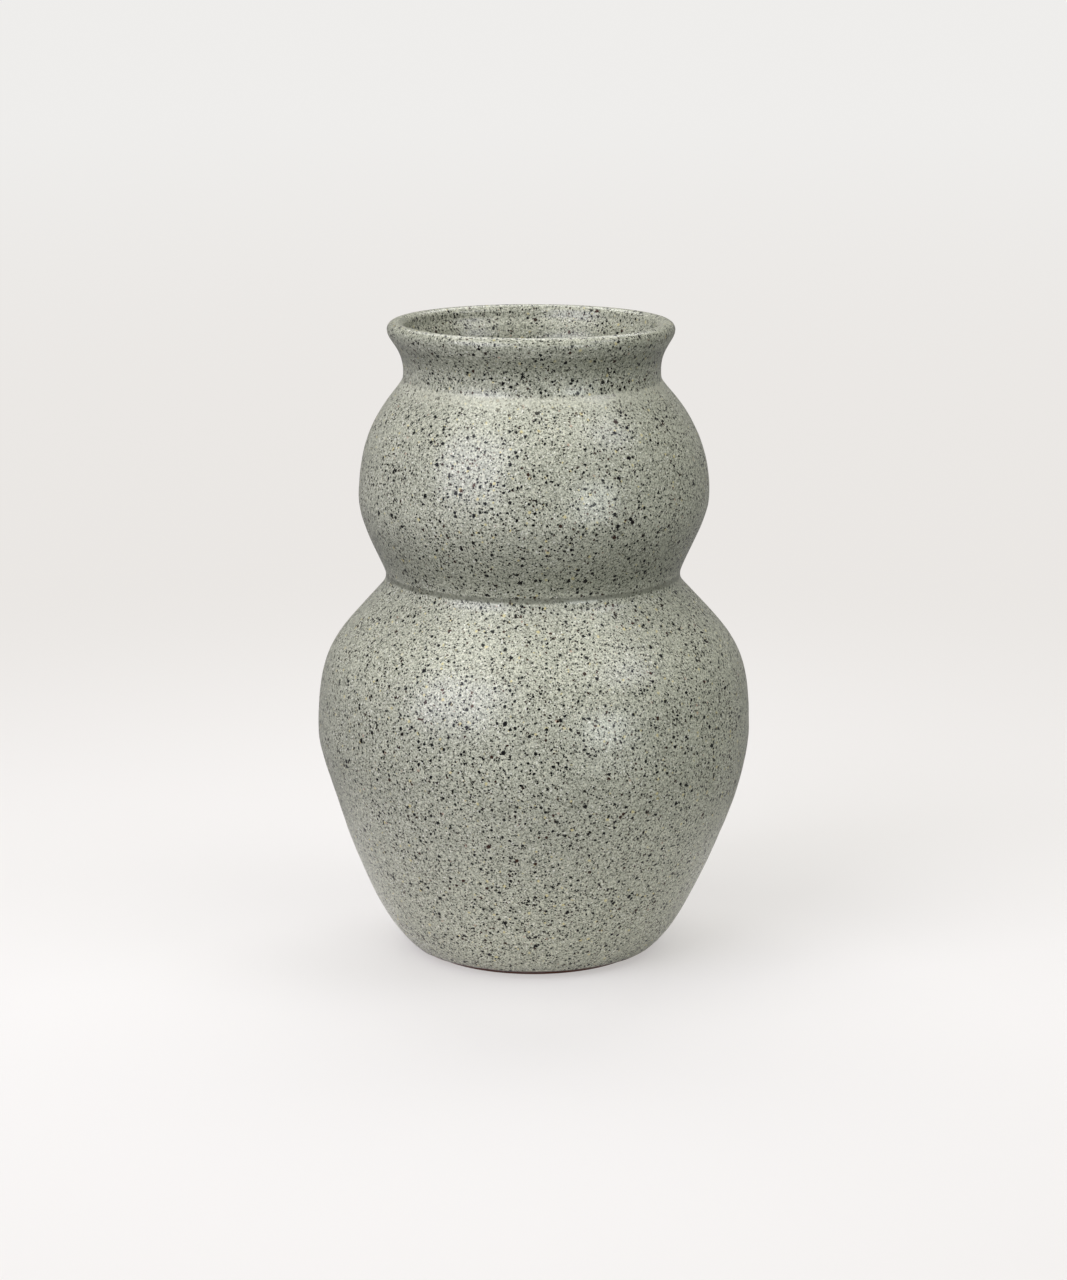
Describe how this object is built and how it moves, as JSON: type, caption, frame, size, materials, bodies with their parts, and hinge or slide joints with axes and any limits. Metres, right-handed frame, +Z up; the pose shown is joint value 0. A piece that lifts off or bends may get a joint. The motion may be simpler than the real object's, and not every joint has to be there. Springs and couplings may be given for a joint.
{
  "type": "gourd vase",
  "caption": "Double-gourd flower vase in speckled grey-green stoneware, with a flared neck, rolled lip, narrow waist and turned foot ring.",
  "frame": {"origin": "centre of the foot ring on the surface that the vase stands on", "axes": "+Z up along the axis that the vase was thrown about; the vase is round, so +X is any direction and +Y follows from it"},
  "size_m": [0.1639, 0.1638, 0.24],
  "materials": {
    "bare_clay": "unglazed iron-bearing stoneware, fired red-brown, matt",
    "joint_slip": "fired slip, matt",
    "speckled_glaze": "satin grey-green glaze with fine iron speckle",
    "liner_glaze": "satin grey-green liner glaze with fine iron speckle"
  },
  "bodies": {
    "root": {"lower_bulb": "bare_clay", "waist_joint_slip": "joint_slip", "upper_bulb": "bare_clay", "neck_joint_slip": "joint_slip", "neck_collar": "bare_clay", "outer_glaze": "speckled_glaze", "liner_glaze": "liner_glaze"}
  },
  "joints": []
}
